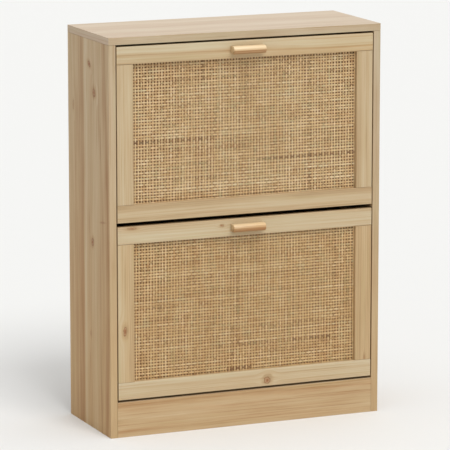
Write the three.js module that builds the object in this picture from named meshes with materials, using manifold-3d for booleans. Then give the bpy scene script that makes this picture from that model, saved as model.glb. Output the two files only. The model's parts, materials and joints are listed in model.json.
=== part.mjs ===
// A shoe cabinet of veneered board with two tilting flaps. Each flap has a pine frame around woven rattan
// webbing, a half-round wooden handle, and a two-row shoe rack that hangs between two moulded brackets.
// Millimetres, +Z up, the front faces -Y, and the origin is on the floor at the middle of the footprint,
// handles included.
import * as THREE from "three";
import { mergeVertices } from "three/addons/utils/BufferGeometryUtils.js";
import Module from "manifold-3d";

const wasm = await Module();
wasm.setup();

// Carcass
const cabinetWidth = 600;
const carcassDepth = 232;
const cabinetHeight = 820;
const boardThickness = 15;
const plinthHeight = 73;
const backThickness = 3;
const backRecess = 6; // from the rear edges of the side panels to the back panel
const grooveDepth = 8;
const rearRailHeight = 60;

// Gaps that show around the flaps
const topGap = 4.2;
const middleGap = 8.4;
const bottomGap = 4.6;
const sideGap = 2.25;

// Flap front
const frameThickness = 15;
const frameMemberWidth = 36;
const lipThickness = 8; // the part of the frame in front of the webbing
const rebateWidth = 10;
const webbingThickness = 1.8;
const backingThickness = 3;

// Handle
const handleLength = 71;
const handleHeight = 16;
const handleProjection = 20;
const handleScrewSpacing = 40;
const handleChamfer = 1;

// Pivot and stop, measured in the closed flap
const pivotDepth = 24; // behind the front face
const pivotRise = 85; // above the flap's lower edge
const openAngle = 45; // degrees
const stopRadius = 130; // from the pivot to the stop pin
const stopBearing = 80; // degrees above the horizontal, seen from the pivot
const pinDiameter = 8;
const pinCollarDiameter = 14;
const pinEmbedment = 12; // length held in the side panel
const pinReach = 8; // length past the outer face of the bracket
const pinChamfer = 0.8;

// Shoe rack
const bracketThickness = 4;
const bracketInset = 0.5; // from the flap's side edge to the bracket's outer face
const bracketRise = 8; // from the flap's lower edge to the bracket
const bracketTopDrop = 28; // from the flap's upper edge to the bracket
const bracketRearGap = 17.5; // from the bracket's rear edge to the rear rail
const bracketMargin = 5; // around the rear board
const bracketNeck = 22; // depth of the bracket at its top
const bracketCorner = 24; // radius at the rear upper corner
const flangeWidth = 24;
const flangeThickness = 3;
const ribThickness = 2;
const ribReach = 10;
const rackBoardThickness = 9;
const baseBoardRise = 12; // from the flap's lower edge to the base board
const dividerHeight = 150;
const rearBoardHeight = 190;
const flangeScrewInset = 34; // from the ends of the stiles

// Wall brackets
const wallBracketLeg = 30;
const wallBracketWidth = 18;
const wallBracketThickness = 2;
const wallBracketSpacing = 360;
const wallHoleDiameter = 6;
const wallHoleDrop = 20; // below the top panel
const wallScrewInset = 18; // from the rear of the wall bracket to its screw

// Screws. The tip, shank, head and crown are diameters, and the rim is the upright part of the head.
const woodScrew = { length: 14, tip: 1, shank: 3.5, head: 7, rim: 1, crown: 5, headHeight: 2.2 };
const handleScrew = { length: 27, tip: 1.2, shank: 4, head: 8, rim: 1.2, crown: 5.8, headHeight: 2.6 };

// Clearances
const joinGap = 0.3; // between pieces that touch
const slotGap = 0.5; // beside a pin that slides in a slot
const panelGap = 0.5; // around a panel held in a groove or rebate
const overshoot = 1; // how far a cutter, or a rib joined to a wall, runs past the face

const roundSegments = 24;
const screwSegments = 12;

const wood = { board: "#c9b08a", plinth: "#c4a67c", pine: "#cdb896", handle: "#e6cba4" };
const materials = {
  board: finish(wood.board, 0.55, 0),
  plinth: finish(wood.plinth, 0.55, 0),
  pine: finish(wood.pine, 0.6, 0),
  handle: finish(wood.handle, 0.5, 0),
  rattan: finish("#bea073", 0.7, 0),
  backing: finish("#a98a5e", 0.8, 0),
  hardboard: finish("#b59a76", 0.8, 0),
  plastic: finish("#e4e1da", 0.45, 0),
  steel: finish("#b9bcc0", 0.35, 1),
};

function finish(color, roughness, metalness) {
  return new THREE.MeshStandardMaterial({ color, roughness, metalness });
}

// A closed geometry as a manifold-3d solid, for joining and cutting.
function toSolid(geometry) {
  const bare = geometry.clone();
  bare.deleteAttribute("normal");
  bare.deleteAttribute("uv");
  const merged = mergeVertices(bare, 1e-4);
  const mesh = new wasm.Mesh({
    numProp: 3,
    vertProperties: new Float32Array(merged.attributes.position.array),
    triVerts: new Uint32Array(merged.index.array),
  });
  return new wasm.Manifold(mesh);
}

function toGeometry(solid) {
  const mesh = solid.getMesh();
  const geometry = new THREE.BufferGeometry();
  geometry.setAttribute("position", new THREE.BufferAttribute(mesh.vertProperties, 3));
  geometry.setIndex(new THREE.BufferAttribute(mesh.triVerts, 1));
  geometry.computeVertexNormals();
  return geometry;
}

function join(geometries) {
  const joined = geometries.map(toSolid).reduce((whole, piece) => whole.add(piece));
  return toGeometry(joined);
}

function cut(geometry, cutters) {
  if (cutters.length === 0) return geometry;
  const left = cutters.map(toSolid).reduce((rest, cutter) => rest.subtract(cutter), toSolid(geometry));
  return toGeometry(left);
}

const middle = ([from, to]) => (from + to) / 2;
const length = ([from, to]) => to - from;
const ordered = (a, b) => [Math.min(a, b), Math.max(a, b)];

// A box between two places on each axis.
function block(spanX, spanY, spanZ) {
  const geometry = new THREE.BoxGeometry(length(spanX), length(spanY), length(spanZ));
  return geometry.translate(middle(spanX), middle(spanY), middle(spanZ));
}

// A round bar along one axis between two places, with its axis through the other two coordinates.
function barAlongX(diameter, spanX, y, z, segments = roundSegments) {
  const geometry = new THREE.CylinderGeometry(diameter / 2, diameter / 2, length(spanX), segments);
  return geometry.rotateZ(Math.PI / 2).translate(middle(spanX), y, z);
}

function barAlongY(diameter, x, spanY, z, segments = roundSegments) {
  const geometry = new THREE.CylinderGeometry(diameter / 2, diameter / 2, length(spanY), segments);
  return geometry.translate(x, middle(spanY), z);
}

function barAlongZ(diameter, x, y, spanZ, segments = roundSegments) {
  const geometry = new THREE.CylinderGeometry(diameter / 2, diameter / 2, length(spanZ), segments);
  return geometry.rotateX(Math.PI / 2).translate(x, y, middle(spanZ));
}

// An outline drawn in the YZ plane, extruded along X.
function extrudeAlongX(shape, spanX, options = {}) {
  const geometry = new THREE.ExtrudeGeometry(shape, {
    depth: length(spanX),
    bevelEnabled: false,
    curveSegments: roundSegments / 2,
    ...options,
  });
  const turn = new THREE.Matrix4().makeBasis(
    new THREE.Vector3(0, 1, 0),
    new THREE.Vector3(0, 0, 1),
    new THREE.Vector3(1, 0, 0),
  );
  return geometry.applyMatrix4(turn).translate(spanX[0], 0, 0);
}

// Adds a geometry that is drawn in the group's coordinates as a mesh with its own centre.
function addPiece(group, name, material, geometry) {
  geometry.computeBoundingBox();
  const centre = geometry.boundingBox.getCenter(new THREE.Vector3());
  geometry.translate(-centre.x, -centre.y, -centre.z);
  const mesh = new THREE.Mesh(geometry, material);
  mesh.name = name;
  mesh.position.copy(centre);
  group.add(mesh);
}

const sides = [
  { name: "left", sign: -1 },
  { name: "right", sign: 1 },
];

// --------------------------------------------------------------------------------------------------
// Places shared by the pieces. In both groups Y is the depth behind the front face.

const halfWidth = cabinetWidth / 2;
const sideInner = halfWidth - boardThickness;
const topUnderside = cabinetHeight - boardThickness;
const backFront = carcassDepth - backRecess - backThickness;
const backRear = carcassDepth - backRecess;
const flapHeight = (topUnderside - plinthHeight - topGap - middleGap - bottomGap) / 2;
const lowerFlapBottom = plinthHeight + bottomGap;
const upperFlapBottom = lowerFlapBottom + flapHeight + middleGap;
const flapHalfWidth = sideInner - sideGap;
const frontY = (handleProjection - carcassDepth) / 2;

const radians = THREE.MathUtils.degToRad;
const stopDepth = pivotDepth + stopRadius * Math.cos(radians(stopBearing));
const stopRise = pivotRise + stopRadius * Math.sin(radians(stopBearing));
const bracketOuter = flapHalfWidth - bracketInset;
const bracketInner = bracketOuter - bracketThickness;
const rearRailFront = backFront - joinGap - boardThickness;
const wallBracketRear = backFront - joinGap;
const wallScrewDepth = wallBracketRear - wallScrewInset;

const flaps = [
  { name: "upper", bottom: upperFlapBottom },
  { name: "lower", bottom: lowerFlapBottom },
];

// Every pin in the side panels: two for each flap.
const pinPlaces = flaps.flatMap((flap) => [
  { name: flap.name + "_pivot_pin", y: pivotDepth, z: flap.bottom + pivotRise },
  { name: flap.name + "_stop_pin", y: stopDepth, z: flap.bottom + stopRise },
]);

// --------------------------------------------------------------------------------------------------
// Carcass

function backGroove(spanX, spanZ) {
  return block(spanX, [backFront - joinGap, backRear + joinGap], spanZ);
}

function addSidePanel(group, side) {
  const spanX = ordered(side.sign * sideInner, side.sign * halfWidth);
  const panel = block(spanX, [0, carcassDepth], [0, topUnderside - joinGap]);
  const cutX = (depth) => ordered(side.sign * (sideInner - overshoot), side.sign * (sideInner + depth));
  const boreX = cutX(pinEmbedment + joinGap);
  const bores = pinPlaces.map((pin) => barAlongX(pinDiameter + 2 * joinGap, boreX, pin.y, pin.z));
  const groove = backGroove(cutX(grooveDepth), [-overshoot, topUnderside]);
  addPiece(group, "side_panel_" + side.name, materials.board, cut(panel, [groove, ...bores]));
}

function addTopPanel(group) {
  const panel = block([-halfWidth, halfWidth], [0, carcassDepth], [topUnderside, cabinetHeight]);
  const reach = sideInner + grooveDepth;
  const groove = backGroove([-reach, reach], [topUnderside - overshoot, topUnderside + grooveDepth]);
  const screwHoles = sides.map((side) =>
    wallScrewHole(side.sign * (wallBracketSpacing / 2), topUnderside - overshoot),
  );
  addPiece(group, "top_panel", materials.board, cut(panel, [groove, ...screwHoles]));
}

// The hole of the screw that holds a wall bracket to the top panel, from a height upwards.
function wallScrewHole(x, fromZ) {
  const spanZ = [fromZ, topUnderside + woodScrew.length - wallBracketThickness];
  return barAlongZ(woodScrew.shank + 2 * joinGap, x, wallScrewDepth, spanZ, screwSegments);
}

function addBackPanel(group) {
  const reach = sideInner + grooveDepth - panelGap;
  const spanZ = [plinthHeight - boardThickness, topUnderside + grooveDepth - panelGap];
  const panel = block([-reach, reach], [backFront, backRear], spanZ);
  const holes = sides.map((side) => {
    const x = side.sign * (wallBracketSpacing / 2);
    const spanY = [backFront - overshoot, backRear + overshoot];
    return barAlongY(wallHoleDiameter, x, spanY, topUnderside - wallHoleDrop);
  });
  addPiece(group, "back_panel", materials.hardboard, cut(panel, holes));
}

function addCrossBoards(group) {
  const spanX = [-sideInner + joinGap, sideInner - joinGap];
  const plinth = block(spanX, [0, boardThickness], [0, plinthHeight]);
  addPiece(group, "plinth", materials.plinth, plinth);

  const behindPlinth = [boardThickness + joinGap, backFront - joinGap];
  const bottom = block(spanX, behindPlinth, [plinthHeight - boardThickness, plinthHeight]);
  addPiece(group, "bottom_panel", materials.board, bottom);

  const railMiddle = upperFlapBottom - middleGap / 2;
  const railZ = [railMiddle - rearRailHeight / 2, railMiddle + rearRailHeight / 2];
  const rail = block(spanX, [rearRailFront, backFront - joinGap], railZ);
  addPiece(group, "rear_rail", materials.board, rail);
}

// A pin with a collar that keeps the bracket off the side panel. The profile runs inwards from the end that
// is held in the panel.
function addPin(group, name, side, y, z) {
  const shank = pinDiameter / 2;
  const collar = pinCollarDiameter / 2;
  const start = sideInner + pinEmbedment;
  const end = bracketOuter - pinReach;
  const collarStart = sideInner - joinGap;
  const collarEnd = bracketOuter + joinGap;
  const outline = [
    [0, start],
    [shank, start],
    [shank, collarStart],
    [collar, collarStart],
    [collar, collarEnd],
    [shank, collarEnd],
    [shank, end + pinChamfer],
    [shank - pinChamfer, end],
    [0, end],
  ];
  const profile = outline.map(([radius, along]) => new THREE.Vector2(radius, -along));
  const pin = new THREE.LatheGeometry(profile, roundSegments);
  pin.rotateZ(side.sign * (Math.PI / 2)).translate(0, y, z);
  addPiece(group, name + "_" + side.name, materials.steel, pin);
}

function addWallBracket(group, side) {
  const x = side.sign * (wallBracketSpacing / 2);
  const spanX = [x - wallBracketWidth / 2, x + wallBracketWidth / 2];
  const top = topUnderside - joinGap;
  const front = wallBracketRear - wallBracketLeg;
  const flat = block(spanX, [front, wallBracketRear], [top - wallBracketThickness, top]);
  const upright = block(
    spanX,
    [wallBracketRear - wallBracketThickness, wallBracketRear],
    [top - wallBracketLeg, top],
  );
  const wallHole = barAlongY(
    wallHoleDiameter,
    x,
    [wallBracketRear - wallBracketThickness - overshoot, wallBracketRear + overshoot],
    topUnderside - wallHoleDrop,
    screwSegments,
  );
  const screwHole = wallScrewHole(x, top - wallBracketThickness - overshoot);
  const bracket = cut(join([flat, upright]), [wallHole, screwHole]);
  addPiece(group, "wall_bracket_" + side.name, materials.steel, bracket);

  const screw = screwGeometry(woodScrew).rotateX(-Math.PI / 2);
  screw.translate(x, wallScrewDepth, top - wallBracketThickness - joinGap);
  addPiece(group, "wall_bracket_screw_" + side.name, materials.steel, screw);
}

// A pan-head screw with its shank along -Y and its head's underside at the origin.
function screwGeometry({ length: shankLength, tip, shank, head, rim, crown, headHeight }) {
  const outline = [
    [0, -shankLength],
    [tip / 2, -shankLength],
    [shank / 2, -shankLength + shank],
    [shank / 2, 0],
    [head / 2, 0],
    [head / 2, rim],
    [crown / 2, headHeight],
    [0, headHeight],
  ];
  return new THREE.LatheGeometry(
    outline.map(([radius, along]) => new THREE.Vector2(radius, along)),
    screwSegments,
  );
}

function makeCarcass() {
  const group = new THREE.Group();
  addTopPanel(group);
  sides.forEach((side) => addSidePanel(group, side));
  addCrossBoards(group);
  addBackPanel(group);
  for (const pin of pinPlaces) {
    sides.forEach((side) => addPin(group, pin.name, side, pin.y, pin.z));
  }
  sides.forEach((side) => addWallBracket(group, side));
  return group;
}

// --------------------------------------------------------------------------------------------------
// Flap. Z is the rise above the flap's lower edge.

const openingHalfWidth = flapHalfWidth - frameMemberWidth;
const openingZ = [frameMemberWidth, flapHeight - frameMemberWidth];
const rebateHalfWidth = openingHalfWidth + rebateWidth;
const rebateZ = [openingZ[0] - rebateWidth, openingZ[1] + rebateWidth];
const handleRise = flapHeight - frameMemberWidth / 2;
const flangeFront = frameThickness + joinGap;
const flangeRear = flangeFront + flangeThickness;
const flangeScrewX = bracketInner - flangeWidth / 2;
const flangeScrewRises = [openingZ[0] + flangeScrewInset, openingZ[1] - flangeScrewInset];

function handleScrewXs() {
  return [-handleScrewSpacing / 2, handleScrewSpacing / 2];
}

function addFrame(group, prefix) {
  const rebateY = [lipThickness, frameThickness + overshoot];
  const rebate = block([-rebateHalfWidth, rebateHalfWidth], rebateY, rebateZ);
  const frameY = [0, frameThickness];
  const railX = [-flapHalfWidth, flapHalfWidth];

  const boreY = [-overshoot, frameThickness + overshoot];
  const bores = handleScrewXs().map((x) =>
    barAlongY(handleScrew.shank + 2 * joinGap, x, boreY, handleRise, screwSegments),
  );
  const topRail = block(railX, frameY, [openingZ[1], flapHeight]);
  addPiece(group, prefix + "_top_rail", materials.pine, cut(topRail, [rebate, ...bores]));

  const bottomRail = block(railX, frameY, [0, openingZ[0]]);
  addPiece(group, prefix + "_bottom_rail", materials.pine, cut(bottomRail, [rebate]));

  const stileZ = [openingZ[0] + joinGap, openingZ[1] - joinGap];
  for (const side of sides) {
    const stileX = ordered(side.sign * openingHalfWidth, side.sign * flapHalfWidth);
    const pilotY = [frameThickness + flangeThickness - woodScrew.length, frameThickness + overshoot];
    const pilots = flangeScrewRises.map((rise) =>
      barAlongY(woodScrew.shank + 2 * joinGap, side.sign * flangeScrewX, pilotY, rise, screwSegments),
    );
    const stile = cut(block(stileX, frameY, stileZ), [rebate, ...pilots]);
    addPiece(group, prefix + "_stile_" + side.name, materials.pine, stile);
  }
}

// The webbing lies behind the lip, and the backing board holds it there.
function addInfill(group, prefix) {
  const halfSpan = rebateHalfWidth - panelGap;
  const spanX = [-halfSpan, halfSpan];
  const spanZ = [rebateZ[0] + panelGap, rebateZ[1] - panelGap];
  const webbingFront = lipThickness + joinGap;
  const webbingRear = webbingFront + webbingThickness;
  const webbing = block(spanX, [webbingFront, webbingRear], spanZ);
  addPiece(group, prefix + "_webbing", materials.rattan, webbing);

  const backingFront = webbingRear + joinGap;
  const backing = block(spanX, [backingFront, backingFront + backingThickness], spanZ);
  addPiece(group, prefix + "_backing", materials.backing, backing);
}

// A bar with flat upper and lower sides and a half-round front.
function addHandle(group, prefix) {
  const radius = handleHeight / 2;
  const outline = new THREE.Shape();
  outline.moveTo(-joinGap, handleRise - radius);
  outline.lineTo(-joinGap, handleRise + radius);
  outline.lineTo(-handleProjection + radius, handleRise + radius);
  outline.absarc(-handleProjection + radius, handleRise, radius, Math.PI / 2, (3 * Math.PI) / 2, false);
  const spanX = [-handleLength / 2 + handleChamfer, handleLength / 2 - handleChamfer];
  const bar = extrudeAlongX(outline, spanX, {
    bevelEnabled: true,
    bevelThickness: handleChamfer,
    bevelSize: handleChamfer,
    bevelOffset: -handleChamfer,
    bevelSegments: 1,
  });
  const pilotDepth = handleScrew.length - frameThickness + joinGap;
  const pilots = handleScrewXs().map((x) =>
    barAlongY(handleScrew.shank + 2 * joinGap, x, [-pilotDepth, overshoot], handleRise, screwSegments),
  );
  addPiece(group, prefix + "_handle", materials.handle, cut(bar, pilots));

  handleScrewXs().forEach((x, index) => {
    const screw = screwGeometry(handleScrew).translate(x, frameThickness + joinGap, handleRise);
    addPiece(group, prefix + "_handle_screw_" + sides[index].name, materials.steel, screw);
  });
}

// Places of the rack's three boards.
const baseTop = baseBoardRise + rackBoardThickness;
const bracketRear = rearRailFront - bracketRearGap;
const rackRear = bracketRear - bracketMargin;
const rackFront = flangeRear + joinGap;
const rearBoardY = [rackRear - rackBoardThickness, rackRear];
const dividerMiddle = (rackFront + rearBoardY[0]) / 2;
const dividerY = [dividerMiddle - rackBoardThickness / 2, dividerMiddle + rackBoardThickness / 2];
const dividerZ = [baseTop + joinGap, baseTop + joinGap + dividerHeight];
const rearBoardZ = [baseTop + joinGap, baseTop + joinGap + rearBoardHeight];
const bracketZ = [bracketRise, flapHeight - bracketTopDrop];
const bracketRearTop = rearBoardZ[1] + bracketMargin;

function addRackBoards(group, prefix) {
  const halfSpan = bracketInner - joinGap;
  const spanX = [-halfSpan, halfSpan];
  const base = block(spanX, [rackFront, rackRear], [baseBoardRise, baseTop]);
  addPiece(group, prefix + "_base_board", materials.board, base);
  addPiece(group, prefix + "_divider_board", materials.board, block(spanX, dividerY, dividerZ));
  addPiece(group, prefix + "_rear_board", materials.board, block(spanX, rearBoardY, rearBoardZ));
}

function bracketOutline() {
  const neck = flangeFront + bracketNeck;
  const cornerY = bracketRear - bracketCorner;
  const cornerZ = bracketRearTop - bracketCorner;
  const outline = new THREE.Shape();
  outline.moveTo(flangeFront, bracketZ[0]);
  outline.lineTo(bracketRear, bracketZ[0]);
  outline.lineTo(bracketRear, cornerZ);
  outline.absarc(cornerY, cornerZ, bracketCorner, 0, Math.PI / 2, false);
  outline.quadraticCurveTo(neck, bracketRearTop, neck, bracketZ[1]);
  outline.lineTo(flangeFront, bracketZ[1]);
  return outline;
}

// The curved slot that the stop pin slides in, as the flap turns from closed to open.
function stopSlot(spanX) {
  const halfWide = pinDiameter / 2 + slotGap;
  const closed = radians(stopBearing);
  const open = radians(stopBearing - openAngle);
  const inner = stopRadius - halfWide;
  const outer = stopRadius + halfWide;
  const openY = pivotDepth + stopRadius * Math.cos(open);
  const openZ = pivotRise + stopRadius * Math.sin(open);
  const outline = new THREE.Shape();
  outline.absarc(pivotDepth, pivotRise, outer, open, closed, false);
  outline.absarc(stopDepth, stopRise, halfWide, closed, closed + Math.PI, false);
  outline.absarc(pivotDepth, pivotRise, inner, closed, open, true);
  outline.absarc(openY, openZ, halfWide, open + Math.PI, open + 2 * Math.PI, false);
  return extrudeAlongX(outline, spanX);
}

function addBracket(group, prefix, side) {
  const spanOf = (from, to) => ordered(side.sign * from, side.sign * to);
  const plateX = spanOf(bracketInner, bracketOuter);
  const ribX = spanOf(bracketInner - ribReach, bracketInner + overshoot);
  const flangeX = spanOf(bracketInner - flangeWidth, bracketOuter);
  const holeX = spanOf(bracketInner - ribReach - overshoot, bracketOuter + overshoot);

  const plate = extrudeAlongX(bracketOutline(), plateX);
  const flange = block(flangeX, [flangeFront, flangeRear], bracketZ);

  // Ribs in pairs hold the boards' ends. A board stands between them with the joining gap on each side.
  const below = [baseBoardRise - joinGap - ribThickness, baseBoardRise - joinGap];
  const above = [baseTop + joinGap, baseTop + joinGap + ribThickness];
  const ribsOf = ([front, rear]) => [
    [front - joinGap - ribThickness, front - joinGap],
    [rear + joinGap, rear + joinGap + ribThickness],
  ];
  const [dividerRibFront, dividerRibRear] = ribsOf(dividerY);
  const [rearRibFront, rearRibRear] = ribsOf(rearBoardY);
  const ribs = [
    block(ribX, [flangeRear - overshoot, rearRibRear[1]], below),
    block(ribX, [flangeRear - overshoot, dividerRibFront[1]], above),
    block(ribX, [dividerRibRear[0], rearRibFront[1]], above),
    block(ribX, dividerRibFront, [above[0], dividerZ[1]]),
    block(ribX, dividerRibRear, [above[0], dividerZ[1]]),
    block(ribX, rearRibFront, [above[0], bracketRearTop - bracketCorner]),
    block(ribX, rearRibRear, [below[0], bracketRearTop - bracketCorner]),
  ];

  const pivotHole = barAlongX(pinDiameter + 2 * joinGap, holeX, pivotDepth, pivotRise);
  const screwHoles = flangeScrewRises.map((rise) =>
    barAlongY(
      woodScrew.shank + 2 * joinGap,
      side.sign * flangeScrewX,
      [flangeFront - overshoot, flangeRear + overshoot],
      rise,
      screwSegments,
    ),
  );
  const bracket = cut(join([plate, flange, ...ribs]), [pivotHole, stopSlot(plateX), ...screwHoles]);
  addPiece(group, prefix + "_rack_bracket_" + side.name, materials.plastic, bracket);

  const screwNames = ["lower", "upper"];
  flangeScrewRises.forEach((rise, index) => {
    const screw = screwGeometry(woodScrew);
    screw.translate(side.sign * flangeScrewX, flangeRear + joinGap, rise);
    const name = prefix + "_bracket_screw_" + side.name + "_" + screwNames[index];
    addPiece(group, name, materials.steel, screw);
  });
}

function makeFlap(flap) {
  const group = new THREE.Group();
  group.position.z = flap.bottom;
  const prefix = flap.name + "_flap";
  addFrame(group, prefix);
  addInfill(group, prefix);
  addHandle(group, prefix);
  addRackBoards(group, prefix);
  sides.forEach((side) => addBracket(group, prefix, side));
  return group;
}

const cabinet = new THREE.Group();
cabinet.position.y = frontY;
cabinet.add(makeCarcass());
flaps.forEach((flap) => cabinet.add(makeFlap(flap)));

export default cabinet;
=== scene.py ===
import json
import math
import random
from typing import NamedTuple

import bmesh
import bpy
from bpy.props import FloatProperty, FloatVectorProperty, PointerProperty
from mathutils import Matrix, Vector

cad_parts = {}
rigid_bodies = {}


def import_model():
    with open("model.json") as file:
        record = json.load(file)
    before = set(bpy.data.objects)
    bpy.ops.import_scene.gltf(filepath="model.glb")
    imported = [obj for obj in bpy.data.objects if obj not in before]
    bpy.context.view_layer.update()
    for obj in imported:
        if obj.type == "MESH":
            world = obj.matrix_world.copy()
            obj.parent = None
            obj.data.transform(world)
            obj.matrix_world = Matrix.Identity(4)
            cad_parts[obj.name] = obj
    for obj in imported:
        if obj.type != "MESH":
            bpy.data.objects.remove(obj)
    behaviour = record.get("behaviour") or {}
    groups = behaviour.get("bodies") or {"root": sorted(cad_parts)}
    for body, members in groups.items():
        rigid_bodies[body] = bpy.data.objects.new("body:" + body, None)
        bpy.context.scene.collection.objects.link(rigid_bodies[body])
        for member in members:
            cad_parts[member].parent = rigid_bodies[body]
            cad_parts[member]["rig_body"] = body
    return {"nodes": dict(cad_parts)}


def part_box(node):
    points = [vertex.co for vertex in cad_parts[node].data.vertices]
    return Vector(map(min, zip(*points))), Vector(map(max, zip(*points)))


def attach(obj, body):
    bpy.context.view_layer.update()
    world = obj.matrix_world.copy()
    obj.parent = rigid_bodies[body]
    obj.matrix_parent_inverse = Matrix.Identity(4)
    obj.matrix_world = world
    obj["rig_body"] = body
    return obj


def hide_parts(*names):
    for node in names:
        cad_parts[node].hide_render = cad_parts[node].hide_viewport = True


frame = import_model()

bl_info = {
    "name": "Tilting Shoe Cabinet",
    "version": (1, 0, 0),
    "blender": (4, 5, 0),
    "location": "3D View > Sidebar > Shoe Cabinet",
    "description": "Dresses the frame of a two-flap shoe cabinet in pine, rattan and moulded fittings",
    "category": "Object",
}

MM = 0.001
X, Y, Z = 0, 1, 2
MERGE_DISTANCE = 0.01 * MM
TOUCH = 0.02 * MM
# A face is flat if its normal is this near to an axis.
FLAT = 0.9999
FLAPS = ("upper_flap", "lower_flap")
SIDES = ("left", "right")

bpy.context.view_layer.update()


def linear(hex_colour):
    """An sRGB hex colour as linear RGB."""
    channels = [int(hex_colour[i : i + 2], 16) / 255 for i in (1, 3, 5)]
    return tuple(c / 12.92 if c <= 0.04045 else ((c + 0.055) / 1.055) ** 2.4 for c in channels)


# ----------------------------------------------------------------------------------------------------
# Sizes and colours that a user would change


def length_property(name, description, millimetres):
    return FloatProperty(
        name=name, description=description, default=millimetres * MM, min=0.0, unit="LENGTH", precision=5
    )


def angle_property(name, description, degrees):
    return FloatProperty(name=name, description=description, default=math.radians(degrees), subtype="ANGLE")


def colour_property(name, description, hex_colour):
    return FloatVectorProperty(
        name=name,
        description=description,
        default=linear(hex_colour),
        size=3,
        min=0.0,
        max=1.0,
        subtype="COLOR",
    )


class CabinetSizes(bpy.types.PropertyGroup):
    board_edge: length_property("Board edge", "Radius of the eased edges of the foil-covered boards", 0.5)
    frame_edge: length_property("Frame edge", "Radius of the sanded edges of the pine frame", 1.4)
    joint_edge: length_property("Joint edge", "Radius of the edges where rails and stiles meet", 0.15)
    handle_end: length_property("Handle end", "Radius around the ends of a handle", 1.4)
    # The real weave has a strand every 5.3 mm, which is too fine to show, so it is drawn a fifth coarser.
    strand_pitch_x: length_property("Strand pitch, across", "Distance between two upright strands", 6.4)
    strand_pitch_z: length_property("Strand pitch, up", "Distance between two level strands", 6.2)
    strand_width: length_property("Strand width", "Width of a rattan strand", 3.5)
    strand_thickness: length_property("Strand thickness", "Thickness of a rattan strand", 0.7)
    crown_edge: length_property("Screw edge", "Radius around the crown of a screw", 0.35)
    recess_width: length_property("Recess width", "Width of an arm of a screw's cross recess", 0.9)
    recess_reach: length_property("Recess reach", "From the middle of the cross recess to its ends", 1.5)
    recess_depth: length_property("Recess depth", "Depth of the cross recess", 1.2)
    moulding_edge: length_property("Moulding edge", "Radius of the edges of the plastic brackets", 0.4)


class CabinetColours(bpy.types.PropertyGroup):
    board_dark: colour_property("Board, dark", "Late wood in the printed foil", "#9f764b")
    board_mid: colour_property("Board", "Main tone of the printed foil", "#bfa581")
    board_light: colour_property("Board, light", "Early wood in the printed foil", "#cfbd9e")
    pine_dark: colour_property("Pine, dark", "Late wood of the pine frame", "#9f7e52")
    pine_mid: colour_property("Pine", "Main tone of the pine frame", "#c0a67f")
    pine_light: colour_property("Pine, light", "Early wood of the pine frame", "#cdbf9f")
    knot: colour_property("Knot", "Heart of a knot", "#985e30")
    handle: colour_property("Handle", "Main tone of the handles", "#e0c397")
    rattan_dark: colour_property("Rattan, dark", "Stained stretches of rattan", "#7d5836")
    rattan_mid: colour_property("Rattan", "Main tone of the rattan", "#d8b583")
    rattan_light: colour_property("Rattan, light", "Palest strands of rattan", "#f0dcb6")
    # Painted shade: the backing is darker than a board's own colour, to stand for the shade seen through the
    # holes of the weave.
    backing: colour_property("Backing", "Thin board behind the webbing", "#6b4420")
    hardboard: colour_property("Hardboard", "Back panel of the cabinet", "#9c7a52")
    plastic: colour_property("Plastic", "Moulded rack brackets", "#e6e3dc")
    steel: colour_property("Steel", "Zinc-plated pins, screws and brackets", "#c3c6c9")


class StageSettings(bpy.types.PropertyGroup):
    floor: colour_property("Floor", "Plain floor under the cabinet", "#e8e8e6")
    key_strength: FloatProperty(name="Key light", description="Strength of the front light", default=1.45)
    top_strength: FloatProperty(name="Top light", description="Strength of the overhead light", default=1.1)
    fill_strength: FloatProperty(name="Fill", description="Strength of the light all round", default=0.42)
    lens: FloatProperty(name="Lens", description="Focal length of the camera in mm", default=265.9)
    azimuth: angle_property("Azimuth", "Turn of the camera from the front", -23.13)
    elevation: angle_property("Elevation", "Camera above the horizon", 10.76)
    distance: length_property("Distance", "From the camera to its target", 6852.0)


# ----------------------------------------------------------------------------------------------------
# Nodes

SMOOTH = {"interpolation_type": "SMOOTHSTEP"}
TINT = {"data_type": "RGBA", "blend_type": "MULTIPLY"}


def add(tree, kind, *inputs, named=None, stops=None, **settings):
    """Adds one shader node with its settings and its colour stops. Its inputs are values, sockets or nodes,
    given in the order of the sockets it uses or by name. A node stands for the first output it uses."""
    made = tree.nodes.new("ShaderNode" + kind)
    for name, value in settings.items():
        setattr(made, name, value)
    used = [socket for socket in made.inputs if socket.enabled]
    by_name = [(made.inputs[name], value) for name, value in (named or {}).items()]
    for socket, value in [*zip(used, inputs), *by_name]:
        if isinstance(value, bpy.types.Node):
            value = next(output for output in value.outputs if output.enabled)
        if isinstance(value, bpy.types.NodeSocket):
            tree.links.new(value, socket)
        else:
            socket.default_value = value
    if stops:
        elements = made.color_ramp.elements
        elements.remove(elements[1])
        for index, (position, colour) in enumerate(stops):
            element = elements.new(position) if index else elements[0]
            element.position = position
            element.color = (*colour, 1.0)
    return made


def greys(tones):
    """Evenly spaced stops of a ramp from a row of tones between 0 and 1."""
    return [(index / (len(tones) - 1), (tone,) * 3) for index, tone in enumerate(tones)]


def new_material(name):
    """An empty material and its node tree."""
    material = bpy.data.materials.new(name)
    material.use_nodes = True
    material.node_tree.nodes.clear()
    return material, material.node_tree


def noise_along(tree, grain, along, across, seed, detail=2.0, roughness=0.5):
    """Noise in cells of these lengths in mm along and across one axis of the cabinet."""
    scale = [1 / (along if axis == grain else across) / MM for axis in (X, Y, Z)]
    place = add(tree, "TexCoord").outputs["Object"]
    cells = add(tree, "Mapping", place, (seed, 1.7 * seed, 2.3 * seed), (0, 0, 0), scale)
    return add(tree, "TexNoise", cells, 1.0, detail, roughness)


# ----------------------------------------------------------------------------------------------------
# Wood

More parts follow.
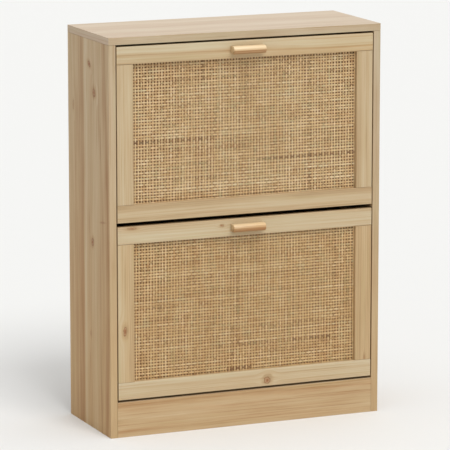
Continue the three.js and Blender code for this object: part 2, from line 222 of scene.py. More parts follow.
AMBER = (1.0, 0.88, 0.7, 1.0)
ROSY = (1.0, 0.93, 0.9, 1.0)
GREEN = (0.93, 0.97, 0.88, 1.0)
BROWN = (0.88, 0.8, 0.66, 1.0)
BANDING_TINT = (0.98, 1.05, 1.15)
# Painted sheen: the top panel's tones are made paler and bluer to stand for the white reflection seen along
# it at a grazing view.
PAINTED_SHEEN_TINT = (0.98, 1.0, 1.11)
# Cells of the patterns in wood, in mm along and across the grain.
WANDER_CELL = (380.0, 60.0)
RING_WAVER_CELL = (1400.0, 16.0)
CLEAR_CELL = (260.0, 22.0)
PATCH_CELL = (160.0, 24.0)
STREAK_CELL = (170.0, 3.4)
VEIN_CELL = (330.0, 2.6)
HUE_CELL = (210.0, 11.0)
FIBRE_LENGTH = 45.0
RING_WAVER = 3.0
RING_TILT = 0.6
PATCH_DEPTH = 0.4
VEIN_DEPTH = 0.3
HALO_DEPTH = 0.3
KNOT_REACH = 4.5
KNOT_RAGGED = 1.1
FAR = 1000.0

# Each growth ring darkens slowly through its early wood and ends at once after its late wood.
RING = [(0.0, (0.0,) * 3), (0.45, (0.12,) * 3), (0.8, (0.75,) * 3), (0.9, (1.0,) * 3), (1.0, (0.0,) * 3)]


class Knot(NamedTuple):
    """A knot, placed in mm from the middle of its board along and across the grain. Its stretch is its length
    along the grain over its width, and its turn is in degrees. Its depth, how dark it is, and its pull, how
    far the grain bends round it, are from 0 to 1."""

    along: float
    across: float
    radius: float
    stretch: float = 1.5
    depth: float = 1.0
    turn: float = 0.0
    pull: float = 0.9


class Cut(NamedTuple):
    """How a board was sawn: the axes its grain runs along and across, the tones across its width, and how
    amber it is at the low and the high end of its grain."""

    grain: int
    across: int
    tones: tuple
    knots: tuple = ()
    wander: float = 8.0
    seed: float = 0.0
    amber: tuple = (0.0, 0.0)

    @property
    def through(self):
        """The axis through the board's thickness."""
        return X + Y + Z - self.grain - self.across


class Timber(NamedTuple):
    """What a kind of wood looks like. Lengths are in mm."""

    name: str
    dark: tuple
    mid: tuple
    light: tuple
    knot: tuple
    ring_spacing: float
    ring_depth: float
    streak_depth: float
    fibre_width: float
    fibre_depth: float
    roughness: float
    specular: float
    coat: float


def knot_fields(tree, place, cut, knot, across):
    """The distance from a knot's heart in its own radii, and how far it turns the grain aside, in mm."""
    centre = [0.0, 0.0, 0.0]
    centre[cut.grain], centre[cut.across] = knot.along, knot.across
    radii = [FAR, FAR, FAR]
    radii[cut.grain], radii[cut.across] = knot.radius * knot.stretch, knot.radius
    turn = [0.0, 0.0, 0.0]
    turn[cut.through] = math.radians(knot.turn)
    moved = add(tree, "Mapping", place, centre, turn, radii, vector_type="TEXTURE")
    distance = add(tree, "VectorMath", moved, operation="LENGTH")
    rough = noise_along(tree, cut.grain, 1.6 * knot.radius, 0.9 * knot.radius, knot.along, detail=3.0)
    ragged = add(tree, "Math", rough, KNOT_RAGGED, distance, operation="MULTIPLY_ADD")
    ragged = add(tree, "Math", ragged, KNOT_RAGGED / 2, operation="SUBTRACT")
    pull = add(tree, "MapRange", distance, 0.0, KNOT_REACH, knot.pull, 0.0, **SMOOTH)
    offset = add(tree, "Math", across, knot.across, operation="SUBTRACT")
    return ragged, add(tree, "Math", pull, offset, operation="MULTIPLY")


def wood_material(name, timber, cut, centre, size):
    """Sawn wood: broad bands, growth rings that pass round the knots, streaks, and fine fibres along the
    grain."""
    material, tree = new_material(timber.name + "_" + name)
    object_place = add(tree, "TexCoord").outputs["Object"]
    place = add(tree, "Mapping", object_place, centre, (0, 0, 0), (MM,) * 3, vector_type="TEXTURE")
    axes = add(tree, "SeparateXYZ", place).outputs

    drift = noise_along(tree, cut.grain, *WANDER_CELL, cut.seed)
    across = add(tree, "Math", drift, 2 * cut.wander, axes[cut.across], operation="MULTIPLY_ADD")
    across = add(tree, "Math", across, cut.wander, operation="SUBTRACT")
    across = add(tree, "Math", axes[cut.through], RING_TILT, across, operation="MULTIPLY_ADD")
    distances = []
    for knot in cut.knots:
        distance, aside = knot_fields(tree, place, cut, knot, across)
        across = add(tree, "Math", across, aside, operation="SUBTRACT")
        distances.append(distance)

    position = add(tree, "Math", across, MM / size[cut.across], 0.5, operation="MULTIPLY_ADD")
    bands = add(tree, "ValToRGB", position, stops=greys(cut.tones))

    waver = noise_along(tree, cut.grain, *RING_WAVER_CELL, cut.seed + 3)
    phase = add(tree, "Math", waver, RING_WAVER, operation="MULTIPLY")
    phase = add(tree, "Math", across, 1 / timber.ring_spacing, phase, operation="MULTIPLY_ADD")
    phase = add(tree, "Math", phase, operation="FRACT")
    ring = add(tree, "ValToRGB", phase, stops=RING)
    clear = noise_along(tree, cut.grain, *CLEAR_CELL, cut.seed + 5)
    clear = add(tree, "MapRange", clear, 0.35, 0.65, 0.15, 1.0, **SMOOTH)
    ring = add(tree, "Math", ring, clear, operation="MULTIPLY")

    fibre_cell = (FIBRE_LENGTH, timber.fibre_width)
    fibre = noise_along(tree, cut.grain, *fibre_cell, cut.seed + 7, detail=4.0, roughness=0.6)
    streak = noise_along(tree, cut.grain, *STREAK_CELL, cut.seed + 8, detail=3.0, roughness=0.6)
    vein = noise_along(tree, cut.grain, *VEIN_CELL, cut.seed + 6)
    patch = noise_along(tree, cut.grain, *PATCH_CELL, cut.seed + 9)
    tone = add(tree, "Math", ring, -timber.ring_depth, bands, operation="MULTIPLY_ADD")
    for value, depth in ((patch, PATCH_DEPTH), (fibre, timber.fibre_depth), (streak, timber.streak_depth)):
        tone = add(tree, "Math", value, depth, tone, operation="MULTIPLY_ADD")
        tone = add(tree, "Math", tone, depth / 2, operation="SUBTRACT")
    vein = add(tree, "MapRange", vein, 0.6, 0.72, 0.0, VEIN_DEPTH, **SMOOTH)
    tone = add(tree, "Math", tone, vein, operation="SUBTRACT")
    for knot, distance in zip(cut.knots, distances):
        halo = add(tree, "MapRange", distance, 0.8, 2.4, HALO_DEPTH * knot.depth, 0.0, **SMOOTH)
        tone = add(tree, "Math", tone, halo, operation="SUBTRACT")
    colour = add(tree, "ValToRGB", tone, stops=[(0.0, timber.dark), (0.5, timber.mid), (1.0, timber.light)])

    # Amber along the grain: on the side panels and the lower flap's stiles it is painted warm light bounced
    # up near the floor.
    half = size[cut.grain] / MM / 2
    amber = add(tree, "MapRange", axes[cut.grain], -half, half, *cut.amber, **SMOOTH)
    darker = add(tree, "Math", 1.3, bands, operation="SUBTRACT")
    amber = add(tree, "Math", amber, darker, operation="MULTIPLY", use_clamp=True)
    hue = noise_along(tree, cut.grain, *HUE_CELL, cut.seed + 12)
    rosy = add(tree, "MapRange", hue, 0.52, 0.75, 0.0, 0.5, **SMOOTH)
    green = add(tree, "MapRange", hue, 0.25, 0.48, 0.5, 0.0, **SMOOTH)
    for amount, tint in ((amber, AMBER), (rosy, ROSY), (green, GREEN)):
        colour = add(tree, "Mix", amount, colour, tint, **TINT)
    for knot, distance in zip(cut.knots, distances):
        rim = tuple(0.7 * channel for channel in timber.knot)
        pale = tuple(0.4 * first + 0.6 * second for first, second in zip(timber.knot, timber.mid))
        heart = [(0.0, rim), (0.3, timber.knot), (0.55, pale), (0.8, rim), (1.0, timber.dark)]
        inside = add(tree, "ValToRGB", distance, stops=heart)
        mask = add(tree, "MapRange", distance, 0.75, 1.15, knot.depth, 0.0, **SMOOTH)
        colour = add(tree, "Mix", mask, colour, inside, data_type="RGBA")

    height = add(tree, "Math", ring, -0.4, fibre, operation="MULTIPLY_ADD")
    rough, gloss = timber.roughness + 0.06, timber.roughness - 0.06
    sockets = {
        "Base Color": colour,
        "Roughness": add(tree, "MapRange", fibre, 0.2, 0.8, gloss, rough, **SMOOTH),
        "Normal": add(tree, "Bump", named={"Height": height, "Strength": 0.25, "Distance": 0.15 * MM}),
        "IOR": 1.5,
        "Specular IOR Level": timber.specular,
        "Coat Weight": timber.coat,
        "Coat Roughness": 0.3,
    }
    add(tree, "OutputMaterial", add(tree, "BsdfPrincipled", named=sockets))
    return material


# ----------------------------------------------------------------------------------------------------
# Shapes


def middle_of(node):
    low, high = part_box(node)
    return (low + high) / 2


def size_of(node):
    low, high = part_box(node)
    return high - low


def copy_of(node):
    """A node's shape with its doubles merged and its flat faces whole."""
    shape = bmesh.new()
    shape.from_mesh(frame["nodes"][node].data)
    bmesh.ops.remove_doubles(shape, verts=shape.verts, dist=MERGE_DISTANCE)
    bmesh.ops.dissolve_limit(shape, angle_limit=math.radians(1), verts=shape.verts, edges=shape.edges)
    return shape


def outer_edges(shape, node, direction):
    """The edges along one axis where two outer sides of a node's box meet."""
    low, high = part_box(node)
    found = []
    for edge in shape.edges:
        first, second = (vert.co for vert in edge.verts)
        along = (second - first).normalized()
        if abs(along[direction]) < 0.999:
            continue
        corner = [
            min(abs(first[axis] - low[axis]), abs(first[axis] - high[axis])) < TOUCH
            for axis in (X, Y, Z)
            if axis != direction
        ]
        if all(corner):
            found.append(edge)
    return found


def round_off(shape, edges, radius, segments=3, clamp=True):
    bmesh.ops.bevel(
        shape,
        geom=edges,
        offset=radius,
        offset_type="OFFSET",
        segments=segments,
        profile=0.5,
        affect="EDGES",
        material=-1,
        clamp_overlap=clamp,
    )


def shade(shape):
    """Flat faces stay flat and rounded ones are smooth."""
    for face in shape.faces:
        face.smooth = max(abs(part) for part in face.normal) < FLAT


def put_in_scene(shape, name, node, materials):
    """Makes the shape an object that rides with a node's body and stands for that node."""
    old = bpy.data.objects.get(name)
    if old:
        bpy.data.objects.remove(old)
    mesh = bpy.data.meshes.new(name)
    shape.to_mesh(mesh)
    shape.free()
    for material in materials:
        mesh.materials.append(material)
    piece = bpy.data.objects.new(name, mesh)
    bpy.context.scene.collection.objects.link(piece)
    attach(piece, frame["nodes"][node]["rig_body"])
    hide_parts(node)


# ----------------------------------------------------------------------------------------------------
# Boards and frame


# Tones run from the low side of the board's box to its high side.
SIDE_LEFT_TONES = (
    0.6, 0.48, 0.15, 0.32, 0.55, 0.45, 0.72, 0.66, 0.5, 0.6, 0.62, 0.86, 0.76, 0.25, 0.28, 0.45,
    0.5, 0.42, 0.6, 0.5, 0.62, 0.7,
)
SIDE_RIGHT_TONES = (0.6, 0.35, 0.65, 0.7, 0.3, 0.25, 0.55, 0.8, 0.75, 0.5, 0.55, 0.2, 0.4, 0.7, 0.6, 0.5)

BOARD_CUTS = {
    "top_panel": Cut(
        X, Y, (0.7, 0.62, 0.75, 0.6, 0.78, 0.8, 0.62, 0.55, 0.66, 0.8, 0.75, 0.65), wander=12, seed=11
    ),
    "side_panel_left": Cut(
        Z,
        Y,
        SIDE_LEFT_TONES,
        (
            Knot(352, -7, 8.5, 0.6, 1.0, 25),
            Knot(297, -33, 7.5, 1.15, 1.0, -20),
            Knot(-12, -20, 6.2, 1.35, 1.0, 10),
            Knot(257, 86, 4.0, 2.8, 0.45),
            Knot(-205, -6, 3.5, 1.6, 0.3),
            Knot(38, -79, 13.0, 0.12, 0.5, -8, 0.1),
            Knot(-160, -52, 20.0, 8.0, 0.0, 2, 0.85),
        ),
        seed=21,
        # Painted warm light: the amber is strongest at the bottom, for light bounced up near the floor.
        amber=(1.4, 0.15),
    ),
    "side_panel_right": Cut(
        Z,
        Y,
        SIDE_RIGHT_TONES,
        (Knot(150, 40, 5.0, 1.4), Knot(-240, -30, 6.0, 1.3)),
        seed=31,
        # Painted warm light: the amber is strongest at the bottom, for light bounced up near the floor.
        amber=(1.2, 0.0),
    ),
    "bottom_panel": Cut(X, Y, (0.6, 0.5, 0.7, 0.4, 0.6, 0.7), seed=41),
    "rear_rail": Cut(X, Z, (0.6, 0.5, 0.7, 0.6), seed=51),
    "plinth": Cut(
        X, Z, (0.6, 0.5, 0.62, 0.5, 0.66, 0.55, 0.6, 0.45, 0.4, 0.6), wander=3, seed=61, amber=(0.6, 0.5)
    ),
}

FRAME_CUTS = {
    "upper_flap_top_rail": Cut(
        X,
        Z,
        (0.6, 0.66, 0.7, 0.4, 0.86, 0.94, 0.82, 0.94, 0.88),
        (Knot(215, 3, 5.0, 16.0, 0.0, 0, 0.9),),
        wander=2.5,
        seed=71,
        amber=(0.0, 0.9),
    ),
    "upper_flap_bottom_rail": Cut(
        X, Z, (0.52, 0.42, 0.72, 0.7, 0.62, 0.45, 0.35, 0.3, 0.36), wander=3, seed=72
    ),
    "upper_flap_stile_left": Cut(
        Z, X, (0.62, 0.7, 0.72, 0.66, 0.62, 0.7, 0.5, 0.42, 0.45), wander=2, seed=73
    ),
    "upper_flap_stile_right": Cut(
        Z, X, (0.45, 0.4, 0.55, 0.7, 0.45, 0.5, 0.66, 0.7, 0.6), wander=2, seed=74
    ),
    "lower_flap_top_rail": Cut(
        X,
        Z,
        (0.74, 0.78, 0.84, 0.8, 0.74, 0.66, 0.62, 0.5, 0.5),
        (Knot(-55, 6, 2.6, 1.8, 0.8), Knot(-252, 14, 2.6, 4.0, 0.7)),
        wander=3,
        seed=81,
    ),
    "lower_flap_bottom_rail": Cut(
        X,
        Z,
        (0.6, 0.66, 0.74, 0.7, 0.6, 0.72, 0.8, 0.76, 0.6),
        (Knot(47, -6, 8.5, 0.9, 0.9, 30),),
        wander=4,
        seed=82,
    ),
    "lower_flap_stile_left": Cut(
        Z,
        X,
        (0.7, 0.66, 0.72, 0.6, 0.55, 0.62, 0.5, 0.5, 0.55),
        (Knot(-36, -3, 4.4, 2.5, 0.95),),
        wander=3,
        seed=83,
        # Painted warm light: the lower flap's stiles are made amber all along, for light bounced up near the
        # floor.
        amber=(0.5, 0.5),
    ),
    "lower_flap_stile_right": Cut(
        Z,
        X,
        (0.5, 0.45, 0.5, 0.6, 0.62, 0.5, 0.45, 0.5, 0.45),
        (Knot(-138, 4, 2.2, 3.0, 0.5),),
        wander=3,
        seed=84,
        # Painted warm light: the lower flap's stiles are made amber all along, for light bounced up near the
        # floor.
        amber=(0.5, 0.5),
    ),
}


def board_timber(colours):
    """Particle board in a printed melamine foil: a soft pine pattern under one even, satin film."""
    return Timber(
        name="printed_melamine_foil",
        dark=tuple(colours.board_dark),
        mid=tuple(colours.board_mid),
        light=tuple(colours.board_light),
        knot=tuple(colours.knot),
        ring_spacing=9.0,
        ring_depth=0.22,
        streak_depth=0.7,
        fibre_width=1.4,
        fibre_depth=0.35,
        roughness=0.55,
        specular=0.25,
        coat=0.0,
    )


def tinted(timber, tint, **changes):
    """The same wood with its three tones multiplied by a tint, and any other changes."""
    for tone in ("dark", "mid", "light"):
        changes[tone] = tuple(channel * part for channel, part in zip(getattr(timber, tone), tint))
    return timber._replace(**changes)


def edge_timber(colours):
    """The melamine banding ironed onto the boards' front edges: the foil's tones in a quieter, straighter
    print."""
    board = board_timber(colours)
    return tinted(
        board, BANDING_TINT, name="melamine_edge_banding", ring_depth=0.12, streak_depth=0.3, specular=0.5
    )


def top_timber(colours):
    """The foil of the top panel, glossier than that of the sides, with its tones tinted paler and bluer as
    painted sheen.
    """
    return tinted(board_timber(colours), PAINTED_SHEEN_TINT, roughness=0.44, specular=0.5)


def pine_timber(colours):
    """Planed pine under a thin clear lacquer: pale early wood, narrow amber late wood."""
    return Timber(
        name="lacquered_pine",
        dark=tuple(colours.pine_dark),
        mid=tuple(colours.pine_mid),
        light=tuple(colours.pine_light),
        knot=tuple(colours.knot),
        ring_spacing=5.5,
        ring_depth=0.25,
        streak_depth=0.4,
        fibre_width=0.9,
        fibre_depth=0.3,
        roughness=0.5,
        specular=0.5,
        coat=0.1,
    )


END_TONES = (0.45, 0.35, 0.45)
BANDING_TONES = (0.5, 0.6, 0.5, 0.65, 0.6)


def wooden_piece(node, name, timber, cut, slot, edge, end_edge, banding=None):
    """A board or frame member with eased edges. Its ends have a material that runs across the board, and
    its narrow long sides have a banding if one is given."""
    shape = copy_of(node)
    round_off(shape, outer_edges(shape, node, cut.grain), edge)
    ends = outer_edges(shape, node, cut.across) + outer_edges(shape, node, cut.through)
    round_off(shape, ends, end_edge, segments=2)
    shade(shape)
    for face in shape.faces:
        if abs(face.normal[cut.grain]) > 0.9:
            face.material_index = 1
        elif banding and abs(face.normal[cut.across]) > 0.5:
            face.material_index = 2
    centre, size = middle_of(node), size_of(node)
    plain = cut._replace(across=cut.through, knots=(), wander=1)
    end_cut = plain._replace(grain=cut.across, tones=END_TONES)
    materials = [
        wood_material(node, timber, cut, centre, size),
        wood_material(node + "_end", timber, end_cut, centre, size),
    ]
    if banding:
        materials.append(wood_material(node, banding, plain._replace(tones=BANDING_TONES), centre, size))
    put_in_scene(shape, name, node, materials)


class CABINET_OT_carcass_boards(bpy.types.Operator):
    """Build the foil-covered boards of the carcass with their eased edges"""

    bl_idname = "cabinet.carcass_boards"
    bl_label = "Carcass Boards"

    def execute(self, context):
        sizes = context.scene.cabinet_sizes
        timber = board_timber(context.scene.cabinet_colours)
        banding = edge_timber(context.scene.cabinet_colours)
        for node, cut in BOARD_CUTS.items():
            slot = "plinth_veneer" if node == "plinth" else "board_veneer"
            edge = sizes.board_edge
            facing = top_timber(context.scene.cabinet_colours) if node == "top_panel" else timber
            wooden_piece(node, "foil_" + node, facing, cut, slot, edge, edge, banding)
        return {"FINISHED"}


class CABINET_OT_flap_frames(bpy.types.Operator):
    """Build the rails and stiles of both flaps in lacquered pine"""

    bl_idname = "cabinet.flap_frames"
    bl_label = "Flap Frames"

    def execute(self, context):
        sizes = context.scene.cabinet_sizes
        timber = pine_timber(context.scene.cabinet_colours)
        for node, cut in FRAME_CUTS.items():
            wooden_piece(node, "pine_" + node, timber, cut, "frame_pine", sizes.frame_edge, sizes.joint_edge)
        return {"FINISHED"}


# ----------------------------------------------------------------------------------------------------
# Webbing


class Stain(NamedTuple):
    """A darker stretch of one strand: its flap, whether the strand is level or upright, and, in mm from the
    middle, its place across the strands and its two ends."""

    flap: str
    level: bool
    place: float
    start: float
    end: float
    depth: float


STAINS = (
    Stain("upper_flap", True, -18.5, -247, -66, 0.42),
    Stain("upper_flap", True, -70.5, 25, 247, 0.3),
    Stain("upper_flap", False, -92, 95, 145, 0.4),
    Stain("upper_flap", False, 145, -145, 145, 0.22),
    Stain("lower_flap", True, -86, -65, 195, 0.3),
    Stain("lower_flap", False, -15, -90, 143, 0.4),
    Stain("lower_flap", True, -137, -40, 20, 0.4),
)


# Most strands keep the common tone, and one in six or so is paler or darker.
ODD_STRANDS = (0.0,) * 14 + (0.16, 0.1, -0.09)

# Each strand wavers by itself and sways with its neighbours. In mm, and then in strands.
OWN_WAVER, OWN_WAVE_LENGTH = 0.25, 46
SHEET_SWAY, SHEET_WAVE_LENGTH, STRANDS_IN_SWAY = 0.5, 130, 19

# The lower flap's webbing is browned more than the upper one's: painted warm light, bounced up near the
# floor.
WARM_BOUNCE_BROWNING = {"upper_flap": 0.15, "lower_flap": 0.65}
REDDISH_RATTAN = (*linear("#b98a58"), 1.0)
GREENISH_RATTAN = (*linear("#a99f76"), 1.0)


def strand_lattice(run_pitch, step_pitch, crossings, strands, width, thickness, first):
    """Parallel strands that run along Z, step along X, and pass before and behind the crossing strands.
    Each lies flat for half a pitch at a crossing and slopes for half a pitch between two crossings. The
    lowest crossing of the first strand is in front if "first" is even, and behind if it is odd."""
    shape = bmesh.new()
    length = (crossings - 0.5) * run_pitch
    rows = 2 * crossings
    bmesh.ops.create_cone(shape, cap_ends=True, segments=6, radius1=0.5, radius2=0.5, depth=length)
    turn = Matrix.Rotation(math.radians(30), 3, "Z")
    bmesh.ops.rotate(shape, verts=shape.verts, cent=(0, 0, 0), matrix=turn)
    widest = max(vert.co.x for vert in shape.verts)
    deepest = max(vert.co.y for vert in shape.verts)
    bmesh.ops.scale(shape, verts=shape.verts, vec=(width / 2 / widest, thickness / 2 / deepest, 1))
    uprights = [edge for edge in shape.edges if abs(edge.verts[0].co.z - edge.verts[1].co.z) > length / 2]
    bmesh.ops.subdivide_edges(shape, edges=uprights, cuts=rows - 2)
    bmesh.ops.translate(shape, verts=shape.verts, vec=(-(strands - 1) / 2 * step_pitch, 0, 0))
    bmesh.ops.spin(
        shape,
        geom=shape.verts[:] + shape.edges[:] + shape.faces[:],
        axis=(0, 0, 1),
        dvec=(step_pitch, 0, 0),
        angle=0.0,
        steps=strands - 1,
        use_duplicate=True,
    )
    for vert in shape.verts:
        strand = round(vert.co.x / step_pitch + (strands - 1) / 2)
        crossing = round((vert.co.z + length / 2) / (run_pitch / 2)) // 2
        before = (strand + crossing + first) % 2 == 0
        vert.co.y += (-0.5 if before else 0.5) * thickness
    return shape


def loosen(shape, generator, flap, level, step_pitch, strands):
    """Gives each strand its own tone, width and slight waver, as a hand-fed loom does, and stains some of
    them."""
    tone_layer = shape.verts.layers.float.new("strand_tone")
    tones = [generator.gauss(0.52, 0.06) + generator.choice(ODD_STRANDS) for _ in range(strands)]
    shifts = [generator.gauss(0.0, 0.03) * step_pitch for _ in range(strands)]
    widths = [generator.uniform(0.88, 1.08) for _ in range(strands)]
    waves = [generator.uniform(0.0, math.tau) for _ in range(strands)]
    stains = [stain for stain in STAINS if stain.flap == flap and stain.level == level]
    for vert in shape.verts:
        strand = round(vert.co.x / step_pitch + (strands - 1) / 2)
        centre = (strand - (strands - 1) / 2) * step_pitch
        tone = tones[strand]
        along = vert.co.z / MM
        for stain in stains:
            place = -stain.place if level else stain.place
            near = abs(centre - place * MM) < step_pitch / 2
            if near and stain.start < along < stain.end:
                tone -= stain.depth
        vert[tone_layer] = tone
        waver = OWN_WAVER * MM * math.sin(along / OWN_WAVE_LENGTH + waves[strand])
        sway = SHEET_SWAY * MM * math.sin(along / SHEET_WAVE_LENGTH + strand / STRANDS_IN_SWAY)
        vert.co.x = centre + (vert.co.x - centre) * widths[strand] + shifts[strand] + waver + sway


def rattan_material(name, colours, grain, seed, brown):
    """Rattan core split into flat strands and woven by loom: long fibres, a dull wax sheen, and a tone for
    each strand."""
    material, tree = new_material("woven_rattan_core_" + name)
    tone = add(tree, "Attribute", attribute_name="strand_tone").outputs["Fac"]
    stretch = noise_along(tree, grain, 15.0, 3.4, seed, detail=3.0)
    patch = noise_along(tree, grain, 55.0, 16.0, seed + 1)
    fibre = noise_along(tree, grain, 14.0, 0.4, seed + 2, detail=3.0, roughness=0.6)
    for value, depth in ((stretch, 1.1), (patch, 0.7), (fibre, 0.4)):
        tone = add(tree, "Math", value, depth, tone, operation="MULTIPLY_ADD")
        tone = add(tree, "Math", tone, depth / 2, operation="SUBTRACT")
    stops = [(0.0, colours.rattan_dark), (0.45, colours.rattan_mid), (1.0, colours.rattan_light)]
    colour = add(tree, "ValToRGB", tone, stops=stops)
    hue = noise_along(tree, grain, 40.0, 8.0, seed + 5)
    reddish = add(tree, "MapRange", hue, 0.5, 0.72, 0.0, 0.5, **SMOOTH)
    greenish = add(tree, "MapRange", hue, 0.28, 0.5, 0.45, 0.0, **SMOOTH)
    colour = add(tree, "Mix", reddish, colour, REDDISH_RATTAN, data_type="RGBA")
    colour = add(tree, "Mix", greenish, colour, GREENISH_RATTAN, data_type="RGBA")
    # Browns the rattan: partly its own tone, and on the lower flap mostly painted warm light bounced up near
    # the floor.
    colour = add(tree, "Mix", brown, colour, BROWN, **TINT)
    sockets = {
        "Base Color": colour,
        "Roughness": add(tree, "MapRange", fibre, 0.2, 0.8, 0.42, 0.58, **SMOOTH),
        "Normal": add(tree, "Bump", named={"Height": fibre, "Strength": 0.4, "Distance": 0.1 * MM}),
        "IOR": 1.5,
    }
    add(tree, "OutputMaterial", add(tree, "BsdfPrincipled", named=sockets))
    return material


class CABINET_OT_webbing(bpy.types.Operator):
    """Weave the rattan webbing of both flaps, strand by strand"""

    bl_idname = "cabinet.webbing"
    bl_label = "Rattan Webbing"

    def execute(self, context):
        sizes = context.scene.cabinet_sizes
        colours = context.scene.cabinet_colours
        for index, flap in enumerate(FLAPS):
            node = flap + "_webbing"
            size = size_of(node)
            across = int(size.x / sizes.strand_pitch_x)
            up = int(size.z / sizes.strand_pitch_z)
            generator = random.Random(17 + index)

            pitch_x, pitch_z = sizes.strand_pitch_x, sizes.strand_pitch_z
            section = (sizes.strand_width, sizes.strand_thickness)
            warp = strand_lattice(pitch_z, pitch_x, up, across, *section, 0)
            loosen(warp, generator, flap, False, pitch_x, across)
            weft = strand_lattice(pitch_x, pitch_z, across, up, *section, up)
            loosen(weft, generator, flap, True, pitch_z, up)
            turn = Matrix.Rotation(math.radians(90), 3, "Y")
            bmesh.ops.rotate(weft, verts=weft.verts, cent=(0, 0, 0), matrix=turn)
            for shape, part, grain in ((warp, "warp", Z), (weft, "weft", X)):
                bmesh.ops.translate(shape, verts=shape.verts, vec=middle_of(node))
                for face in shape.faces:
                    face.smooth = len(face.verts) == 4
                name = flap + "_" + part
                material = rattan_material(name, colours, grain, 5 * index + grain, WARM_BOUNCE_BROWNING[flap])
                put_in_scene(shape, "rattan_" + name, node, [material])
        return {"FINISHED"}


# ----------------------------------------------------------------------------------------------------
# Handles


HANDLE_DARK = linear("#a87a48")
HANDLE_LIGHT = linear("#f0dcb8")
# Just under half its height, so that a thin flat is left between a handle's two rounded edges.
NEARLY_HALF = 0.498


class CABINET_OT_handles(bpy.types.Operator):
    """Build the half-round wooden handles"""

    bl_idname = "cabinet.handles"
    bl_label = "Handles"

    def execute(self, context):
        sizes = context.scene.cabinet_sizes
        colours = context.scene.cabinet_colours
        timber = pine_timber(colours)._replace(
            name="turned_pine",
            mid=tuple(colours.handle),
            dark=HANDLE_DARK,
            light=HANDLE_LIGHT,
            ring_spacing=4.0,
            ring_depth=0.3,
            roughness=0.42,
            coat=0.2,
        )
        # Painted shade and light: each handle's tones run dark at its underside and pale at its top, as light
        # from above falls on it.
        cuts = (
            Cut(X, Z, (0.15, 0.52, 0.64, 0.68, 0.7), wander=1, seed=91),
            Cut(X, Z, (0.1, 0.34, 0.52, 0.64, 0.8), wander=4, seed=92, amber=(0.0, 0.5)),
        )
        for flap, cut in zip(FLAPS, cuts):
            node = flap + "_handle"
            low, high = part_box(node)
            centre, size = middle_of(node), size_of(node)
            shape = bmesh.new()
            bmesh.ops.create_cube(shape, size=1.0)
            bmesh.ops.scale(shape, verts=shape.verts, vec=size)
            bmesh.ops.translate(shape, verts=shape.verts, vec=centre)
            front = [
                edge
                for edge in outer_edges(shape, node, X)
                if all(abs(vert.co.y - low.y) < TOUCH for vert in edge.verts)
            ]
            round_off(shape, front, NEARLY_HALF * size.z, segments=10)
            ends = [
                edge
                for edge in shape.edges
                if len({round(vert.co.x, 6) for vert in edge.verts}) == 1
                and not all(abs(vert.co.y - high.y) < TOUCH for vert in edge.verts)
            ]
            round_off(shape, ends, sizes.handle_end, segments=4)
            bmesh.ops.remove_doubles(shape, verts=shape.verts, dist=MERGE_DISTANCE)
            for face in shape.faces:
                face.smooth = abs(face.normal.y) < FLAT or face.calc_center_median().y < high.y - TOUCH
            material = wood_material(node, timber, cut, centre, size)
            put_in_scene(shape, "turned_" + node, node, [material])
        return {"FINISHED"}


# ----------------------------------------------------------------------------------------------------
# Panels behind


def fibreboard_material(name, colour, seed):
    """Pressed wood fibre: a brown felt of short fibres in every direction, smooth on one face."""
    material, tree = new_material(name)
    base = tuple(colour)
    dark = tuple(0.62 * channel for channel in base)
    light = tuple(min(1.0, 1.25 * channel) for channel in base)
    level = noise_along(tree, X, 5.0, 0.6, seed, detail=3.0)
    upright = noise_along(tree, Z, 5.0, 0.6, seed + 4, detail=3.0)
    felt = add(tree, "Math", level, upright, operation="MAXIMUM")
    cloud = noise_along(tree, X, 60.0, 45.0, seed + 6)
    tone = add(tree, "Math", cloud, 0.5, felt, operation="MULTIPLY_ADD")
    tone = add(tree, "Math", tone, 0.3, operation="SUBTRACT")
    sockets = {
        "Base Color": add(tree, "ValToRGB", tone, stops=[(0.1, dark), (0.5, base), (0.95, light)]),
        "Roughness": add(tree, "MapRange", felt, 0.3, 0.7, 0.6, 0.8, **SMOOTH),
        "Normal": add(tree, "Bump", named={"Height": felt, "Strength": 0.35, "Distance": 0.2 * MM}),
        "IOR": 1.5,
    }
    add(tree, "OutputMaterial", add(tree, "BsdfPrincipled", named=sockets))
    return material


class CABINET_OT_back_panels(bpy.types.Operator):
    """Finish the hardboard back panel and the thin boards behind the webbing"""

    bl_idname = "cabinet.back_panels"
    bl_label = "Back Panels"

    def execute(self, context):
        colours = context.scene.cabinet_colours
        back = copy_of("back_panel")
        shade(back)
        hardboard = fibreboard_material("pressed_hardboard", colours.hardboard, 3)
        put_in_scene(back, "hardboard_back_panel", "back_panel", [hardboard])
        # The backing's dark colour is painted shade for the holes of the weave.
        backing = fibreboard_material("thin_pressed_fibreboard", colours.backing, 8)
        for flap in FLAPS:
            shape = copy_of(flap + "_backing")
            shade(shape)
            put_in_scene(shape, "thin_" + flap + "_backing", flap + "_backing", [backing])
        return {"FINISHED"}


# ----------------------------------------------------------------------------------------------------
# Rack


RACK_TONES = (0.6, 0.45, 0.7, 0.55, 0.35, 0.6, 0.72, 0.5)


class CABINET_OT_rack_boards(bpy.types.Operator):
    """Build the boards of the shoe racks"""

    bl_idname = "cabinet.rack_boards"
    bl_label = "Rack Boards"

    def execute(self, context):
        sizes = context.scene.cabinet_sizes
        timber = board_timber(context.scene.cabinet_colours)
        for index, flap in enumerate(FLAPS):
            for part, across in (("base_board", Y), ("divider_board", Z), ("rear_board", Z)):
                node = flap + "_" + part
                cut = Cut(X, across, RACK_TONES, seed=100 + 10 * index + len(part))
                edges = (sizes.board_edge, sizes.joint_edge)
                wooden_piece(node, "foil_" + node, timber, cut, "rack_board", *edges)
        return {"FINISHED"}


